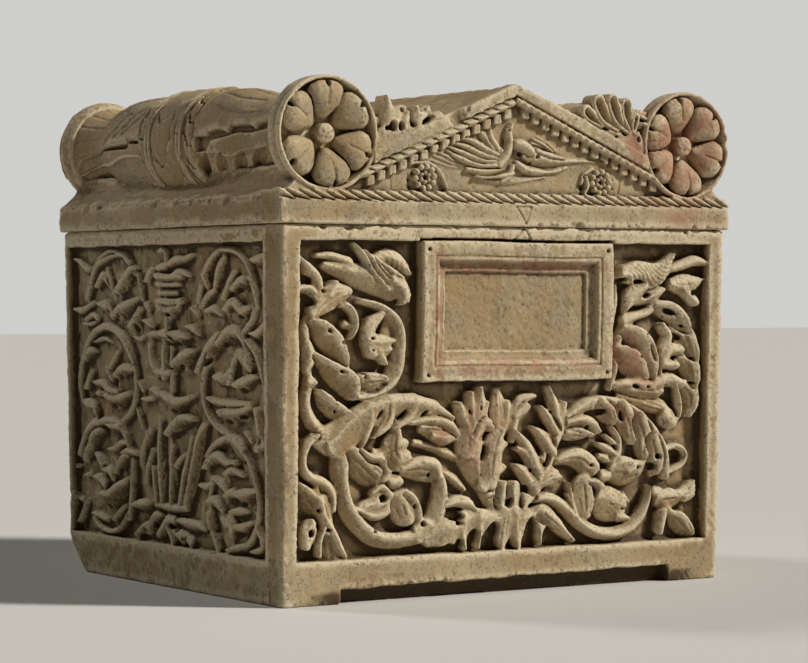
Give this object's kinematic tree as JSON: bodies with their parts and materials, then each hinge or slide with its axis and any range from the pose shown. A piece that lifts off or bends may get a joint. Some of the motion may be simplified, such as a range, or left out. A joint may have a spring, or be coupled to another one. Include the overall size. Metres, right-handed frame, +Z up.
{
  "type": "lidded cinerarium",
  "caption": "Carved marble ash chest with scrollwork panels and a blank framed tablet, and a lift-off gabled lid with bolsters.",
  "frame": {"origin": "middle of the chest's footprint, on the surface it stands on", "axes": "+Z up, the front with the tablet faces -Y, +X to the right as the front is seen"},
  "size_m": [0.3998, 0.347, 0.3715],
  "materials": {
    "marble": "honed, weathered, with a cream and ochre patina and dark speckles",
    "lid_marble": "honed, weathered, with a cream and ochre patina, dark speckles and traces of red pigment"
  },
  "bodies": {
    "chest": {"chest": "marble"},
    "lid": {"lid": "lid_marble"}
  },
  "joints": [
    {"name": "lid_lift", "type": "slide", "parent": "chest", "child": "lid", "axis": [0, 0, 1], "range_m": [0, 0.3]}
  ]
}
